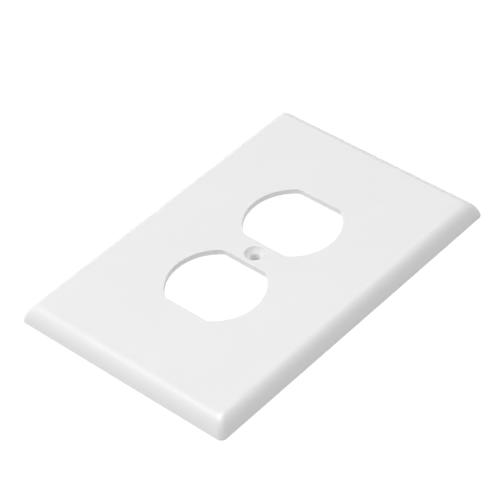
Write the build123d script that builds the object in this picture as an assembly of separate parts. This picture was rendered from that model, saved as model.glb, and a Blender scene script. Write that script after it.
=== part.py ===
from build123d import *
import math
import os

# Wall plate for a duplex receptacle: one gang, oversize, one injection moulding. Millimetres.
# The plate lies on its back rim. +Z points out of the wall, +Y up the wall and X across it,
# and the origin is on the screw's axis in the plane of the wall.

# Outside of the plate
PLATE_WIDTH = 88.9
PLATE_LENGTH = 133.35
PLATE_DEPTH = 6.25
SKIN = 2.1
RIM_WALL = 1.9

# Rolled edge: above a short upright band, an ellipse whose centre lies lower than the band's top.
# So the roll leaves the band at a slope, and it is tightest at the shoulder, where it meets the face.
RIM_BAND = 0.2
ROLL_WIDTH = 5.3
ROLL_SINK = 2.45
PLATE_CORNER = 2.1
ROLL_STEPS = 9

# Hollow back, whose roll follows the outside at about one skin's thickness
HOLLOW_BAND = 0.2
HOLLOW_ROLL_WIDTH = 3.4
HOLLOW_ROLL_SINK = 2.0
HOLLOW_CORNER = 1.0
HOLLOW_HALF_X = PLATE_WIDTH / 2 - RIM_WALL
HOLLOW_HALF_Y = PLATE_LENGTH / 2 - RIM_WALL
HOLLOW_TOP = PLATE_DEPTH - SKIN

# Receptacle openings: a circle cut by two flats
OPENING_PITCH = 38.89
OPENING_RADIUS = 17.06
OPENING_FLATS = 28.8
OPENING_CORNER = 2.4
OPENING_EDGE = 0.15

# Hole for one 6-32 oval-head screw, in a tapered boss: a shallow land, a countersink and a bore
SCREW_HOLE_RADIUS = 1.8
COUNTERSINK_RADIUS = 3.4
COUNTERSINK_LAND = 0.25
COUNTERSINK_ANGLE = 82
BOSS_ROOT_RADIUS = 4.0
BOSS_FOOT_RADIUS = 3.4
BOSS_FOOT = 2.2

# Ribs under the skin
RIB = 1.1
RIB_FOOT = 2.4
LONG_RIB_X = 24.0
CROSS_RIB_Y = 45.0

# Marks of the mould: round ejector-pin marks and the gate's stub
EJECTOR_RADIUS = 2.2
EJECTOR_DEPTH = 0.2
EJECTOR_X = 32.0
EJECTOR_Y = (-53.0, 0.0, 53.0)
GATE_RADIUS = 1.2
GATE_STUB = 0.4
GATE_Y = 53.0

# How far a tool reaches past the face that it cuts, and how near counts as on a face
OVERLAP = 0.5
TOLERANCE = 0.01


def rolled_block(half_x, half_y, band, depth, width, sink, corner):
    """A block on the XY plane whose sides roll inwards along part of an ellipse to a flat top."""
    tall = depth - band + sink
    start = math.asin(sink / tall)
    sections = []
    for step in range(ROLL_STEPS + 1):
        turn = start + (math.pi / 2 - start) * step / ROLL_STEPS
        inset = width * (math.cos(start) - math.cos(turn))
        rise = tall * math.sin(turn) - sink
        outline = RectangleRounded(2 * (half_x - inset), 2 * (half_y - inset), corner)
        sections.append(Pos(0, 0, band + rise) * outline)
    foot = extrude(RectangleRounded(2 * half_x, 2 * half_y, corner), band)
    return foot + loft(sections)


def bar(length_x, length_y, centre_x, centre_y):
    """A rib's full block, from the rib's foot up into the skin."""
    height = HOLLOW_TOP + OVERLAP - RIB_FOOT
    block = Box(length_x, length_y, height, align=(Align.CENTER, Align.CENTER, Align.MIN))
    return Pos(centre_x, centre_y, RIB_FOOT) * block


def ribs():
    """Two ribs up the plate, two across it, and a short one each side of the boss."""
    blocks = []
    for side in (-1, 1):
        blocks.append(bar(RIB, 2 * HOLLOW_HALF_Y, side * LONG_RIB_X, 0))
        blocks.append(bar(2 * HOLLOW_HALF_X, RIB, 0, side * CROSS_RIB_Y))
    blocks.append(bar(2 * LONG_RIB_X, RIB, 0, 0))
    joined = blocks[0]
    for block in blocks[1:]:
        joined += block
    return joined


def boss():
    """The tapered boss that carries the screw hole behind the skin."""
    height = HOLLOW_TOP - BOSS_FOOT
    cone = Cone(
        BOSS_FOOT_RADIUS, BOSS_ROOT_RADIUS, height, align=(Align.CENTER, Align.CENTER, Align.MIN)
    )
    return Pos(0, 0, BOSS_FOOT) * cone


def hollow_back():
    """The space behind the skin, less the boss, the ribs and the gate's stub."""
    space = Pos(0, 0, -OVERLAP) * rolled_block(
        HOLLOW_HALF_X,
        HOLLOW_HALF_Y,
        HOLLOW_BAND + OVERLAP,
        HOLLOW_TOP + OVERLAP,
        HOLLOW_ROLL_WIDTH,
        HOLLOW_ROLL_SINK,
        HOLLOW_CORNER,
    )
    stub = Pos(0, GATE_Y, HOLLOW_TOP) * Cylinder(GATE_RADIUS, 2 * GATE_STUB)
    return space - ribs() - boss() - stub


def ejector_marks():
    """Shallow round marks in the underside of the skin."""
    marks = []
    for x in (-EJECTOR_X, EJECTOR_X):
        for y in EJECTOR_Y:
            marks.append(Pos(x, y, HOLLOW_TOP) * Cylinder(EJECTOR_RADIUS, 2 * EJECTOR_DEPTH))
    return marks


def opening(centre_y):
    """One receptacle opening, right through the skin."""
    outline = Circle(OPENING_RADIUS) & Rectangle(2 * OPENING_RADIUS, OPENING_FLATS)
    outline = fillet(outline.vertices(), OPENING_CORNER)
    through = extrude(Pos(0, centre_y, -OVERLAP) * outline, PLATE_DEPTH + 2 * OVERLAP)
    return through


def screw_hole():
    """The clearance hole, its countersink and the land above it, as one tool."""
    upright = (Align.CENTER, Align.CENTER, Align.MIN)
    sink = (COUNTERSINK_RADIUS - SCREW_HOLE_RADIUS) / math.tan(math.radians(COUNTERSINK_ANGLE / 2))
    land_foot = PLATE_DEPTH - COUNTERSINK_LAND
    shank = Cylinder(SCREW_HOLE_RADIUS, PLATE_DEPTH, align=upright)
    seat = Cone(SCREW_HOLE_RADIUS, COUNTERSINK_RADIUS, sink, align=upright)
    land = Cylinder(COUNTERSINK_RADIUS, COUNTERSINK_LAND + OVERLAP, align=upright)
    return shank + Pos(0, 0, land_foot - sink) * seat + Pos(0, 0, land_foot) * land


def opening_rims(plate):
    """The edges where the two openings break the front face."""
    face_level = plate.edges().filter_by_position(
        Axis.Z, PLATE_DEPTH - TOLERANCE, PLATE_DEPTH + TOLERANCE
    )
    reach_x = OPENING_RADIUS + TOLERANCE
    reach_y = (OPENING_PITCH + OPENING_FLATS) / 2 + TOLERANCE
    return [
        edge
        for edge in face_level
        if abs(edge.center().X) < reach_x and abs(edge.center().Y) < reach_y
    ]


def wall_plate():
    """The whole moulding."""
    plate = rolled_block(
        PLATE_WIDTH / 2,
        PLATE_LENGTH / 2,
        RIM_BAND,
        PLATE_DEPTH,
        ROLL_WIDTH,
        ROLL_SINK,
        PLATE_CORNER,
    )
    plate -= hollow_back()
    for mark in ejector_marks():
        plate -= mark
    for centre_y in (-OPENING_PITCH / 2, OPENING_PITCH / 2):
        plate -= opening(centre_y)
    plate = fillet(opening_rims(plate), OPENING_EDGE)
    plate -= screw_hole()
    return plate


os.makedirs("parts", exist_ok=True)
plate = wall_plate()
print("wall_plate", plate.is_valid, round(plate.volume, 1), plate.bounding_box())
export_step(plate, "parts/wall_plate.step")
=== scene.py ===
import math

import bmesh
import bpy
from mathutils import Matrix, Vector
from mathutils.geometry import delaunay_2d_cdt


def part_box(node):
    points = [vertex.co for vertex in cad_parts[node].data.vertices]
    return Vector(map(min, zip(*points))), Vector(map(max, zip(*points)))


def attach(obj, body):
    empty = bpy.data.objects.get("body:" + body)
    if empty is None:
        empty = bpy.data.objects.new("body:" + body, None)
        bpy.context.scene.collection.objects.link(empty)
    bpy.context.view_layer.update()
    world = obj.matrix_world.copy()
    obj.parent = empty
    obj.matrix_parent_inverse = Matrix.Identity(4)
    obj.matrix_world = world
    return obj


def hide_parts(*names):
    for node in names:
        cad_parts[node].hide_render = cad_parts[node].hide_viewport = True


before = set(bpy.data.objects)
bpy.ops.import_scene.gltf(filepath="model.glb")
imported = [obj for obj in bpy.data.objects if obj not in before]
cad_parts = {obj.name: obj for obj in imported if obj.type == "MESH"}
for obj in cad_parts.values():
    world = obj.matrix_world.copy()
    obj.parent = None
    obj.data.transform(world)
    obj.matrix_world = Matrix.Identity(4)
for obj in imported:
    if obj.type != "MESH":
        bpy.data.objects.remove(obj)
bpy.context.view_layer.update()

# The looks of a duplex receptacle wall plate: one white moulding that lies face up on a pale floor.
# Sizes are in millimetres, as on a drawing of the plate. MM turns them into the frame's metres.
MM = 0.001

# The plate's box comes from the CAD model
LOW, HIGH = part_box("wall_plate")
HALF_X = (HIGH.x - LOW.x) / 2 / MM
HALF_Y = (HIGH.y - LOW.y) / 2 / MM
FACE_Z = HIGH.z / MM
SKIN = 2.1
UNDER_Z = FACE_Z - SKIN

# Outside roll: above a short upright band, an ellipse whose centre lies lower than the band's top
RIM_BAND = 0.2
ROLL_WIDTH = 5.3
ROLL_SINK = 2.45
PLATE_CORNER = 2.1
FOOT_EDGE = 0.12

# Inside of the hollow back
RIM_WALL = 1.9
HOLLOW_BAND = 0.2
HOLLOW_ROLL_WIDTH = 3.4
HOLLOW_ROLL_SINK = 2.0
HOLLOW_CORNER = 1.0

# Receptacle openings
OPENING_PITCH = 38.89
OPENING_RADIUS = 17.06
OPENING_FLATS = 28.8
OPENING_CORNER = 2.4
OPENING_EDGE = 0.15
OPENING_BACK_EDGE = 0.1

# Screw hole, countersink and boss
HOLE_RADIUS = 1.8
SINK_RADIUS = 3.4
SINK_LAND = 0.25
SINK_ANGLE = 82
SINK_EDGE = 0.18
BOSS_ROOT_RADIUS = 4.0
BOSS_FOOT_RADIUS = 3.4
BOSS_FOOT_Z = 2.2
BOSS_ROOT_FILLET = 0.4
BOSS_EDGE = 0.12

# Ribs under the skin
RIB = 1.1
RIB_FOOT_Z = 2.4
RIB_EDGE = 0.2
RIB_ROOT_FILLET = 0.35
# The fillet ends this far above the skin's underside, so that the two surfaces cross and join cleanly
RIB_ROOT_RAISE = 0.03
RIB_SINK = 0.45
LONG_RIB_X = 24.0
CROSS_RIB_Y = 45.0
RIB_END_INSET = 2.4

# Marks of the mould
EJECTOR_RADIUS = 2.2
EJECTOR_DEPTH = 0.2
EJECTOR_EDGE = 0.06
EJECTOR_X = 32.0
EJECTOR_Y = (-53.0, 0.0, 53.0)
GATE_RADIUS = 1.2
GATE_STUB = 0.4
GATE_Y = 53.0
# The stub's profile from its root to the dent, as shares of its radius and of its length
GATE_PROFILE = ((1.15, 0.0), (1.0, 0.4), (0.94, 0.9), (0.85, 1.0), (0.6, 0.92))

# Edges over this angle in degrees shade sharp
SHARP_ANGLE = 38
# A face whose normal has at least this share of Z is level
LEVEL = 0.9999
# Points and heights nearer than this, in millimetres, count as the same
WELD = 0.001

# How finely the mesh is cut
ROLL_STEPS = 24
EDGE_STEPS = 4
FINE_EDGE_STEPS = 6
MARK_EDGE_STEPS = 2
CORNER_STEPS = 12
SIDE_STEPS_X = 22
SIDE_STEPS_Y = 34
ROUND_STEPS = 64
MARK_STEPS = 32
CONE_STEPS = 3
BORE_STEPS = 2
# The level sheets' grid, how near to an edge its points may come as a share of it, and the merge distance
GRID = 3.2
GRID_MARGIN = 0.6
SHEET_MERGE = 1e-6


def turns(start, end, steps):
    """Angles or shares from start to end in equal steps, both ends included."""
    return [start + (end - start) * i / steps for i in range(steps + 1)]


def rounded_rectangle(half_x, half_y, corner):
    """Points anticlockwise round a rectangle with rounded corners, the same number whatever its size."""
    points = []
    straight_x, straight_y = half_x - corner, half_y - corner
    quarters = ((1, 1), (-1, 1), (-1, -1), (1, -1))
    for quarter, (sign_x, sign_y) in enumerate(quarters):
        start = math.pi / 2 * quarter
        for turn in turns(start, start + math.pi / 2, CORNER_STEPS):
            x = sign_x * straight_x + corner * math.cos(turn)
            y = sign_y * straight_y + corner * math.sin(turn)
            points.append((x, y))
        if quarter % 2 == 0:
            steps, along = SIDE_STEPS_X, Vector((-2 * sign_x * straight_x, 0))
        else:
            steps, along = SIDE_STEPS_Y, Vector((0, -2 * sign_y * straight_y))
        last = Vector(points[-1])
        points += [tuple(last + along * (i / steps)) for i in range(1, steps)]
    return points


def opening_outline(centre_y, grow):
    """Points anticlockwise round a receptacle opening: a circle cut by two flats, with rounded corners."""
    radius, half = OPENING_RADIUS + grow, OPENING_FLATS / 2 + grow
    corner = OPENING_CORNER + grow
    y = half - corner
    x = math.sqrt((radius - corner) ** 2 - y**2)
    tangent = math.atan2(y, x)
    points = []
    for flip in (0, math.pi):
        side = [
            (radius * math.cos(t), radius * math.sin(t))
            for t in turns(-tangent, tangent, 2 * CORNER_STEPS)
        ]
        side += [
            (x + corner * math.cos(t), y + corner * math.sin(t))
            for t in turns(tangent, math.pi / 2, CORNER_STEPS)[1:]
        ]
        side += [(x - 2 * x * i / CORNER_STEPS, half) for i in range(1, CORNER_STEPS)]
        side += [
            (-x + corner * math.cos(t), y + corner * math.sin(t))
            for t in turns(math.pi / 2, math.pi - tangent, CORNER_STEPS)[:-1]
        ]
        points += [
            (px * math.cos(flip) - py * math.sin(flip), px * math.sin(flip) + py * math.cos(flip))
            for px, py in side
        ]
    return [(px, py + centre_y) for px, py in points]


def circle(centre_x, centre_y, radius, steps=ROUND_STEPS):
    """Points anticlockwise round a circle."""
    return [
        (centre_x + radius * math.cos(t), centre_y + radius * math.sin(t))
        for t in turns(0, 2 * math.pi, steps)[:-1]
    ]


def add_rings(bm, rings):
    """Joins rings of as many points each, given as (outline, height), and returns their vertices."""
    made = []
    for outline, height in rings:
        made.append([bm.verts.new(Vector((x, y, height)) * MM) for x, y in outline])
    for low, high in zip(made, made[1:]):
        count = len(low)
        for i in range(count):
            j = (i + 1) % count
            bm.faces.new((low[i], low[j], high[j], high[i]))
    return made


def inside(point, loop):
    """True if a point lies inside a closed loop of points."""
    x, y = point
    within = False
    for (x1, y1), (x2, y2) in zip(loop, loop[1:] + loop[:1]):
        if (y1 > y) != (y2 > y) and x < (x2 - x1) * (y - y1) / (y2 - y1) + x1:
            within = not within
    return within


def grid_points(border, holes):
    """Points on a grid inside the border and outside the holes, kept off every edge."""
    loops = [border] + holes
    edges = [Vector(p) for loop in loops for p in loop]
    reach_x = max(abs(x) for x, _ in border)
    reach_y = max(abs(y) for _, y in border)
    found = []
    for i in range(-int(reach_x / GRID), int(reach_x / GRID) + 1):
        for j in range(-int(reach_y / GRID), int(reach_y / GRID) + 1):
            point = (i * GRID, j * GRID)
            if not inside(point, border) or any(inside(point, hole) for hole in holes):
                continue
            if min((Vector(point) - edge).length for edge in edges) > GRID * GRID_MARGIN:
                found.append(point)
    return found


def add_sheet(bm, border, holes):
    """Fills the level surface between a ring of vertices and the rings of its holes."""
    loops = [border] + holes
    flat = [[(v.co.x / MM, v.co.y / MM) for v in loop] for loop in loops]
    height = border[0].co.z
    points = [Vector(p) for loop in flat for p in loop]
    verts = [v for loop in loops for v in loop]
    edges, first = [], 0
    for loop in flat:
        count = len(loop)
        edges += [(first + i, first + (i + 1) % count) for i in range(count)]
        first += count
    for x, y in grid_points(flat[0], flat[1:]):
        points.append(Vector((x, y)))
        verts.append(bm.verts.new(Vector((x * MM, y * MM, height))))
    _, _, triangles, origins, _, _ = delaunay_2d_cdt(points, edges, [], 0, SHEET_MERGE)
    for triangle in triangles:
        corners = [origins[i][0] for i in triangle]
        centre = sum((points[i] for i in corners), Vector((0, 0))) / 3
        if inside(centre, flat[0]) and not any(inside(centre, hole) for hole in flat[1:]):
            bm.faces.new([verts[i] for i in corners])


def roll(width, sink, band, top):
    """An edge's roll from its band to the flat, as (inset, height)."""
    tall = top - band + sink
    start = math.asin(sink / tall)
    path = []
    for turn in turns(start, math.pi / 2, ROLL_STEPS):
        inset = width * (math.cos(start) - math.cos(turn))
        path.append((inset, band + tall * math.sin(turn) - sink))
    return path


def outside_rings():
    """The rim's outer edge, its band and the roll, from the wall up to the face."""
    rings = []
    for turn in turns(0, math.pi / 2, EDGE_STEPS):
        inset = FOOT_EDGE * (1 - math.sin(turn))
        outline = rounded_rectangle(HALF_X - inset, HALF_Y - inset, PLATE_CORNER - inset)
        rings.append((outline, FOOT_EDGE * (1 - math.cos(turn))))
    for inset, height in roll(ROLL_WIDTH, ROLL_SINK, RIM_BAND, FACE_Z):
        rings.append((rounded_rectangle(HALF_X - inset, HALF_Y - inset, PLATE_CORNER), height))
    return rings


def hollow_rings():
    """The rim's inner edge and the inside of the roll, from the wall up to the skin."""
    half_x, half_y = HALF_X - RIM_WALL, HALF_Y - RIM_WALL
    rings = []
    for turn in turns(0, math.pi / 2, EDGE_STEPS):
        grow = FOOT_EDGE * (1 - math.sin(turn))
        outline = rounded_rectangle(half_x + grow, half_y + grow, HOLLOW_CORNER + grow)
        rings.append((outline, FOOT_EDGE * (1 - math.cos(turn))))
    for inset, height in roll(HOLLOW_ROLL_WIDTH, HOLLOW_ROLL_SINK, HOLLOW_BAND, UNDER_Z):
        rings.append((rounded_rectangle(half_x - inset, half_y - inset, HOLLOW_CORNER), height))
    return rings


def opening_rings(centre_y):
    """An opening's wall, from the face over its rounded edge down to the skin's back edge."""
    rings = []
    for turn in turns(0, math.pi / 2, FINE_EDGE_STEPS):
        grow = OPENING_EDGE * (1 - math.sin(turn))
        drop = OPENING_EDGE * (1 - math.cos(turn))
        rings.append((opening_outline(centre_y, grow), FACE_Z - drop))
    for turn in turns(0, math.pi / 2, EDGE_STEPS):
        grow = OPENING_BACK_EDGE * (1 - math.cos(turn))
        rise = OPENING_BACK_EDGE * (1 - math.sin(turn))
        rings.append((opening_outline(centre_y, grow), UNDER_Z + rise))
    return rings


def screw_rings():
    """The land, countersink and clearance hole, the boss's foot and its outside up to the skin."""
    land_z = FACE_Z - SINK_LAND
    sink_z = land_z - (SINK_RADIUS - HOLE_RADIUS) / math.tan(math.radians(SINK_ANGLE / 2))
    path = []
    for turn in turns(0, math.pi / 2, EDGE_STEPS):
        path.append((
            SINK_RADIUS + SINK_EDGE * (1 - math.sin(turn)),
            FACE_Z - SINK_EDGE * (1 - math.cos(turn)),
        ))
    for share in turns(0, 1, CONE_STEPS):
        path.append((
            SINK_RADIUS + (HOLE_RADIUS - SINK_RADIUS) * share,
            land_z + (sink_z - land_z) * share,
        ))
    for share in turns(0, 1, BORE_STEPS)[1:]:
        path.append((HOLE_RADIUS, sink_z + (BOSS_FOOT_Z + BOSS_EDGE - sink_z) * share))
    for turn in turns(0, math.pi / 2, EDGE_STEPS)[1:]:
        path.append((
            HOLE_RADIUS + BOSS_EDGE * (1 - math.cos(turn)),
            BOSS_FOOT_Z + BOSS_EDGE * (1 - math.sin(turn)),
        ))
    for turn in turns(0, math.pi / 2, EDGE_STEPS):
        path.append((
            BOSS_FOOT_RADIUS - BOSS_EDGE * (1 - math.sin(turn)),
            BOSS_FOOT_Z + BOSS_EDGE * (1 - math.cos(turn)),
        ))
    for turn in turns(0, math.pi / 2, FINE_EDGE_STEPS):
        path.append((
            BOSS_ROOT_RADIUS + BOSS_ROOT_FILLET * (1 - math.cos(turn)),
            UNDER_Z - BOSS_ROOT_FILLET * (1 - math.sin(turn)),
        ))
    return [(circle(0, 0, radius), height) for radius, height in path]


def ejector_rings(x, y):
    """A shallow round mark in the skin's underside, from its edge to its floor."""
    path = []
    for turn in turns(0, math.pi / 2, MARK_EDGE_STEPS):
        path.append((
            EJECTOR_RADIUS + EJECTOR_EDGE * (1 - math.sin(turn)),
            UNDER_Z + EJECTOR_EDGE * (1 - math.cos(turn)),
        ))
    path.append((EJECTOR_RADIUS, UNDER_Z + EJECTOR_DEPTH))
    return [(circle(x, y, radius, MARK_STEPS), height) for radius, height in path]


def gate_rings():
    """The trimmed stub of the gate, a low cone with a small dent in its end."""
    rings = []
    for wide, deep in GATE_PROFILE:
        outline = circle(0, GATE_Y, GATE_RADIUS * wide, MARK_STEPS)
        rings.append((outline, UNDER_Z - GATE_STUB * deep))
    return rings


def moulding(bm):
    """The whole plate but its ribs, as one closed surface."""
    outside = add_rings(bm, outside_rings())
    hollow = add_rings(bm, hollow_rings())
    screw = add_rings(bm, screw_rings())
    openings = [add_rings(bm, opening_rings(side * OPENING_PITCH / 2)) for side in (-1, 1)]
    marks = [add_rings(bm, ejector_rings(x, y)) for x in (-EJECTOR_X, EJECTOR_X) for y in EJECTOR_Y]
    gate = add_rings(bm, gate_rings())
    add_sheet(bm, outside[-1], [screw[0]] + [rings[0] for rings in openings])
    under_holes = [screw[-1], gate[0]] + [rings[-1] for rings in openings]
    add_sheet(bm, hollow[-1], under_holes + [rings[0] for rings in marks])
    for rings in marks + [gate]:
        bm.faces.new(rings[-1])
    for i in range(len(outside[0])):
        j = (i + 1) % len(outside[0])
        bm.faces.new((outside[0][i], outside[0][j], hollow[0][j], hollow[0][i]))
    bmesh.ops.recalc_face_normals(bm, faces=bm.faces)


def rib_profile():
    """Half of a rib's section as (distance from its middle, height), from its sunk root to its foot."""
    half = RIB / 2
    root = UNDER_Z + RIB_ROOT_RAISE
    points = [(half + RIB_ROOT_FILLET, UNDER_Z + RIB_SINK)]
    for turn in turns(0, math.pi / 2, EDGE_STEPS):
        points.append((
            half + RIB_ROOT_FILLET * (1 - math.sin(turn)),
            root - RIB_ROOT_FILLET * (1 - math.cos(turn)),
        ))
    for turn in turns(0, math.pi / 2, EDGE_STEPS):
        points.append((
            half - RIB_EDGE * (1 - math.cos(turn)),
            RIB_FOOT_Z + RIB_EDGE * (1 - math.sin(turn)),
        ))
    return points


def add_rib(bm, start, end):
    """One rib between two points on the plate, with a filleted root and a rounded foot."""
    half = rib_profile()
    section = half + [(-across, height) for across, height in reversed(half)]
    along = Vector(end) - Vector(start)
    across = Vector((-along.y, along.x)).normalized()
    ends = []
    for place in (Vector(start), Vector(end)):
        ends.append([
            bm.verts.new(Vector((*(place + across * offset), height)) * MM)
            for offset, height in section
        ])
    count = len(section)
    for i in range(count):
        j = (i + 1) % count
        bm.faces.new((ends[0][i], ends[0][j], ends[1][j], ends[1][i]))
    for ring in ends:
        bm.faces.new(ring)
    bmesh.ops.recalc_face_normals(bm, faces=bm.faces)


def rib_places():
    """Where each rib runs: two up the plate, two across it, and one each side of the boss."""
    end_x, end_y = HALF_X - RIB_END_INSET, HALF_Y - RIB_END_INSET
    places = []
    for side in (-1, 1):
        places.append(((side * LONG_RIB_X, -end_y), (side * LONG_RIB_X, end_y)))
        places.append(((-end_x, side * CROSS_RIB_Y), (end_x, side * CROSS_RIB_Y)))
        boss_wall = (HOLE_RADIUS + BOSS_FOOT_RADIUS) / 2
        places.append(((side * boss_wall, 0), (side * LONG_RIB_X, 0)))
    return places


def object_from(bm, name):
    """A new object that holds a bmesh."""
    mesh = bpy.data.meshes.new(name)
    bm.to_mesh(mesh)
    bm.free()
    made = bpy.data.objects.new(name, mesh)
    bpy.context.scene.collection.objects.link(made)
    return made


def fuse(target, tool):
    """Joins a closed tool into a closed target by boolean union and removes the tool."""
    step = target.modifiers.new("fuse", "BOOLEAN")
    step.operation = "UNION"
    step.solver = "EXACT"
    step.object = tool
    graph = bpy.context.evaluated_depsgraph_get()
    fused = bpy.data.meshes.new_from_object(target.evaluated_get(graph))
    target.modifiers.clear()
    target.data = fused
    bpy.data.objects.remove(tool)


def clean_mesh(mesh):
    """Removes edges of no length that the joining left, and makes the level underside shade flat."""
    bm = bmesh.new()
    bm.from_mesh(mesh)
    bmesh.ops.dissolve_degenerate(bm, edges=bm.edges, dist=WELD * MM)
    under = {
        face
        for face in bm.faces
        if abs(face.normal.z) > LEVEL and abs(face.calc_center_median().z / MM - UNDER_Z) < WELD
    }
    for edge in bm.edges:
        if sum(face in under for face in edge.link_faces) == 1:
            edge.smooth = False
    bm.to_mesh(mesh)
    bm.free()


def build_plate():
    """The plate's finished mesh, standing for the CAD node."""
    bm = bmesh.new()
    moulding(bm)
    plate = object_from(bm, "wall_plate_moulding")
    for number, (start, end) in enumerate(rib_places()):
        bm = bmesh.new()
        add_rib(bm, start, end)
        fuse(plate, object_from(bm, f"rib_{number}"))
    mesh = plate.data
    mesh.shade_smooth()
    mesh.set_sharp_from_angle(angle=math.radians(SHARP_ANGLE))
    clean_mesh(mesh)
    weighted = plate.modifiers.new("weighted_normals", "WEIGHTED_NORMAL")
    weighted.keep_sharp = True
    return plate


def node(tree, kind, **inputs):
    """A shader node with some of its inputs set."""
    made = tree.nodes.new(kind)
    for name, value in inputs.items():
        made.inputs[name].default_value = value
    return made


def white_plastic():
    """Smooth white moulded plastic: a faint mottle, a soft gloss that varies, and fine surface waves."""
    material = bpy.data.materials.new("moulded_white_plastic")
    material.use_nodes = True
    tree = material.node_tree
    links = tree.links
    shader = tree.nodes["Principled BSDF"]
    shader.inputs["IOR"].default_value = 1.5
    shader.inputs["Subsurface Weight"].default_value = 0.08
    shader.inputs["Subsurface Radius"].default_value = (1.0, 1.0, 1.0)
    shader.inputs["Subsurface Scale"].default_value = 0.0012
    place = tree.nodes.new("ShaderNodeTexCoord")

    mottle = node(tree, "ShaderNodeTexNoise", Scale=60.0, Detail=3.0, Roughness=0.5)
    links.new(place.outputs["Object"], mottle.inputs["Vector"])
    colour = tree.nodes.new("ShaderNodeValToRGB")
    colour.color_ramp.elements[0].position = 0.3
    colour.color_ramp.elements[0].color = (0.862, 0.862, 0.860, 1)
    colour.color_ramp.elements[1].position = 0.7
    colour.color_ramp.elements[1].color = (0.874, 0.874, 0.872, 1)
    links.new(mottle.outputs["Fac"], colour.inputs["Fac"])
    links.new(colour.outputs["Color"], shader.inputs["Base Color"])

    sheen = node(tree, "ShaderNodeTexNoise", Scale=180.0, Detail=4.0, Roughness=0.55)
    links.new(place.outputs["Object"], sheen.inputs["Vector"])
    gloss = node(tree, "ShaderNodeMapRange")
    gloss.inputs["From Min"].default_value = 0.3
    gloss.inputs["From Max"].default_value = 0.7
    gloss.inputs["To Min"].default_value = 0.28
    gloss.inputs["To Max"].default_value = 0.36
    links.new(sheen.outputs["Fac"], gloss.inputs["Value"])
    links.new(gloss.outputs["Result"], shader.inputs["Roughness"])

    waves = node(tree, "ShaderNodeTexNoise", Scale=420.0, Detail=2.0, Roughness=0.4)
    links.new(place.outputs["Object"], waves.inputs["Vector"])
    bump = node(tree, "ShaderNodeBump", Strength=0.06, Distance=0.00005)
    links.new(waves.outputs["Fac"], bump.inputs["Height"])
    links.new(bump.outputs["Normal"], shader.inputs["Normal"])
    return material


# The stage. The table is a square in metres, a hair below the plate so that the two never coincide
TABLE_SIZE = 6.0
TABLE_GREY = 0.05
TABLE_GLOW = 1.0
TABLE_DROP = 0.02 * MM
# The disc under the screw hole, in millimetres, a gap below the boss's foot. It is painted shade: a dim
# grey sheet with a faint glow that stands for the shadowed table under the plate
DISC_RADIUS = 1.45
DISC_CENTRE = (-1.0, 1.0)
DISC_GAP = 0.05
# Painted shade and painted light: the disc's dark grey and faint glow stand for the dim table in the
# plate's shadow
PAINTED_SHADE_GREY = 0.15
PAINTED_SHADE_GLOW = 0.3


def plain_surface(name, grey, glow):
    """A matt material of one grey that may also glow, for what the plate lies on."""
    material = bpy.data.materials.new(name)
    material.use_nodes = True
    shader = material.node_tree.nodes["Principled BSDF"]
    shader.inputs["Base Color"].default_value = (grey, grey, grey, 1)
    shader.inputs["Roughness"].default_value = 0.9
    shader.inputs["Specular IOR Level"].default_value = 0.0
    shader.inputs["Emission Color"].default_value = (1, 1, 1, 1)
    shader.inputs["Emission Strength"].default_value = glow
    return material


def level_sheet(name, outline, height, material):
    """A level sheet of one outline in metres that is no part of the plate."""
    bm = bmesh.new()
    bm.faces.new([bm.verts.new((x, y, 0)) for x, y in outline])
    made = object_from(bm, name)
    made.location.z = height
    made.data.materials.append(material)


def floor():
    """A white light table, and under the boss a grey disc of painted shade with a faint painted glow,
    standing for the shadowed table that shows through its hole.
    """
    half = TABLE_SIZE / 2
    table = [(-half, -half), (half, -half), (half, half), (-half, half)]
    white = plain_surface("white_table", TABLE_GREY, TABLE_GLOW)
    level_sheet("floor", table, LOW.z - TABLE_DROP, white)
    # Painted shade: a dim, faintly glowing disc stands for the shadowed table seen through the screw hole
    disc = [(x * MM, y * MM) for x, y in circle(*DISC_CENTRE, DISC_RADIUS)]
    grey = plain_surface("painted_shade_disc", PAINTED_SHADE_GREY, PAINTED_SHADE_GLOW)
    level_sheet("painted_shade_sheet", disc, LOW.z + (BOSS_FOOT_Z - DISC_GAP) * MM, grey)


SOFTBOX_DISTANCE = 1.5
# Azimuth and elevation of each softbox in degrees, as for the camera, its side in metres and its watts
SOFTBOXES = {
    "overhead": (0, 90, 0.9, 16.0),
    "left_high": (-45, 60, 0.9, 5.5),
    "front_high": (0, 60, 0.9, 2.4),
    "rear_high": (180, 60, 0.9, 0.8),
    "side_low": (-90, 15, 0.9, 2.4),
    "left_low": (-45, 15, 0.9, 2.3),
    "gleam": (-155, 55, 0.35, 0.38),
}


def direction(azimuth, elevation):
    """The unit vector from the plate towards an azimuth and elevation: azimuth 0 is the -Y side."""
    turn, rise = math.radians(azimuth), math.radians(elevation)
    return Vector((
        math.sin(turn) * math.cos(rise),
        -math.cos(turn) * math.cos(rise),
        math.sin(rise),
    ))


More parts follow.
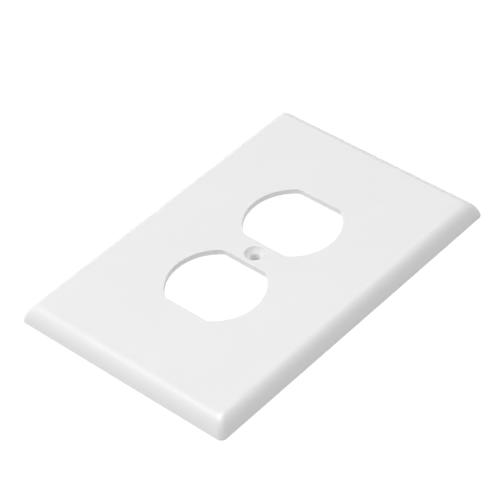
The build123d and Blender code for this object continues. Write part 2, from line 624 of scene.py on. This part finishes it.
def surround():
    """A white backdrop that the camera sees and that lights nothing."""
    world = bpy.data.worlds.new("surround")
    world.use_nodes = True
    tree = world.node_tree
    background = tree.nodes["Background"]
    background.inputs["Color"].default_value = (1, 1, 1, 1)
    ray = tree.nodes.new("ShaderNodeLightPath")
    tree.links.new(ray.outputs["Is Camera Ray"], background.inputs["Strength"])
    bpy.context.scene.world = world


def lights():
    """Square softboxes round and above the plate."""
    for name, (azimuth, elevation, side, power) in SOFTBOXES.items():
        data = bpy.data.lights.new(name, "AREA")
        data.shape = "SQUARE"
        data.size = side
        data.energy = power
        lamp = bpy.data.objects.new(name, data)
        bpy.context.scene.collection.objects.link(lamp)
        towards = direction(azimuth, elevation)
        lamp.location = towards * SOFTBOX_DISTANCE
        lamp.rotation_euler = towards.to_track_quat("Z", "Y").to_euler()


CAMERA_AZIMUTH = 44.530
CAMERA_ELEVATION = 42.037
CAMERA_ROLL = -4.883
CAMERA_DISTANCE = 0.75220
CAMERA_LENS = 162.09
CAMERA_AIM = Vector((-3.78, 1.74, 4.32)) * MM


def camera():
    """The camera, placed by its direction, roll and distance from the point that it looks at."""
    back = direction(CAMERA_AZIMUTH, CAMERA_ELEVATION)
    level = Vector((-back.y, back.x, 0)).normalized()
    tilt = math.radians(CAMERA_ROLL)
    upright = back.cross(level)
    right = level * math.cos(tilt) + upright * math.sin(tilt)
    up = upright * math.cos(tilt) - level * math.sin(tilt)
    data = bpy.data.cameras.new("camera")
    data.sensor_width = 36
    data.lens = CAMERA_LENS
    data.clip_start = 0.01
    data.clip_end = 20
    made = bpy.data.objects.new("camera", data)
    bpy.context.scene.collection.objects.link(made)
    turn = Matrix((right, up, back)).transposed().to_4x4()
    made.matrix_world = Matrix.Translation(CAMERA_AIM + back * CAMERA_DISTANCE) @ turn
    bpy.context.scene.camera = made


camera()
surround()
lights()
floor()
plate = build_plate()
plate.data.materials.clear()
plate.data.materials.append(white_plastic())
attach(plate, "root")
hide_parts("wall_plate")

bpy.context.scene.view_settings.view_transform = "Standard"
